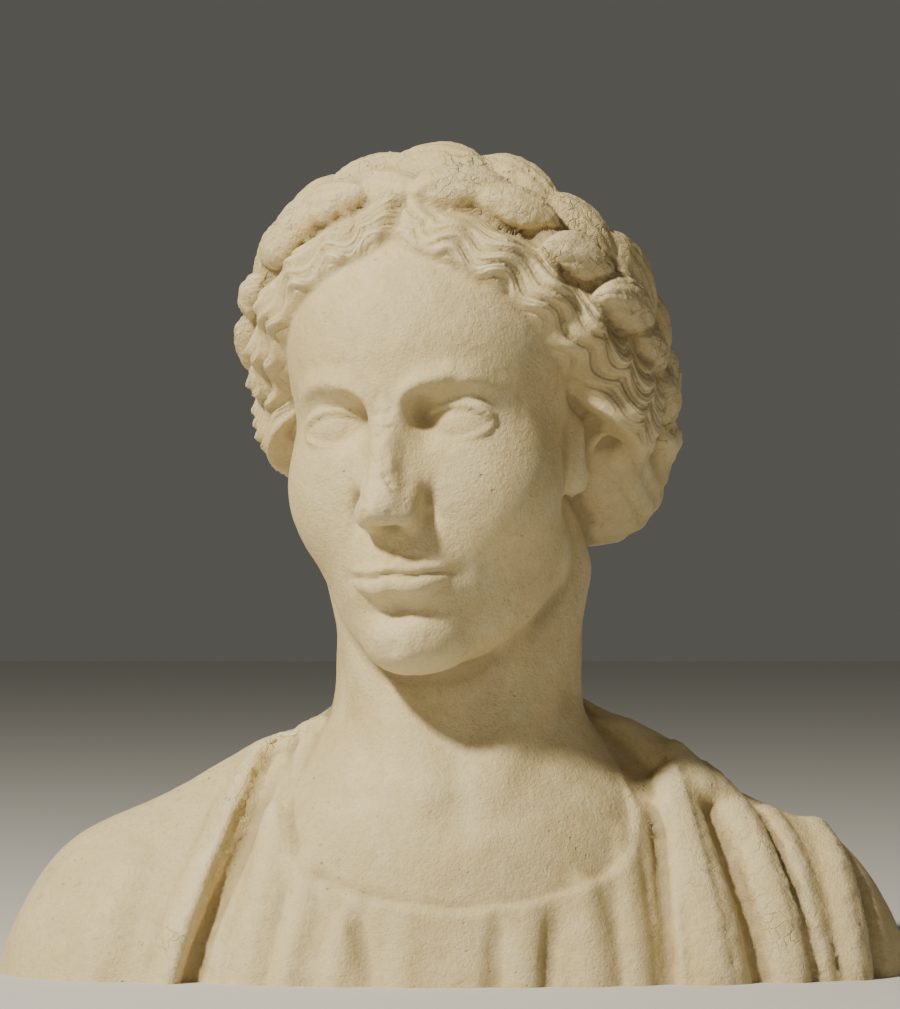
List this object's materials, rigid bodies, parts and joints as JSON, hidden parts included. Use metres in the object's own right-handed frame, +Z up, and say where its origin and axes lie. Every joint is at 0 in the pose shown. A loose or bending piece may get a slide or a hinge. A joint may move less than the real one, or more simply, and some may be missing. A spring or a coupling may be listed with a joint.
{
  "type": "stone bust",
  "caption": "Life-size bust of a classical figure in carved weathered stone, hair parted and braided, draped shoulders, cut flat below.",
  "frame": {"origin": "on the flat underside, in its left-right middle and about 27 mm in front of its front-back middle", "axes": "+Z up out of the head, -Y to the front of the shoulders, +X to the figure's own left"},
  "size_m": [0.4326, 0.2393, 0.3903],
  "materials": {
    "stone": "weathered warm cream marble, dull, lightly pitted"
  },
  "bodies": {
    "root": {"bust": "stone"}
  },
  "joints": []
}
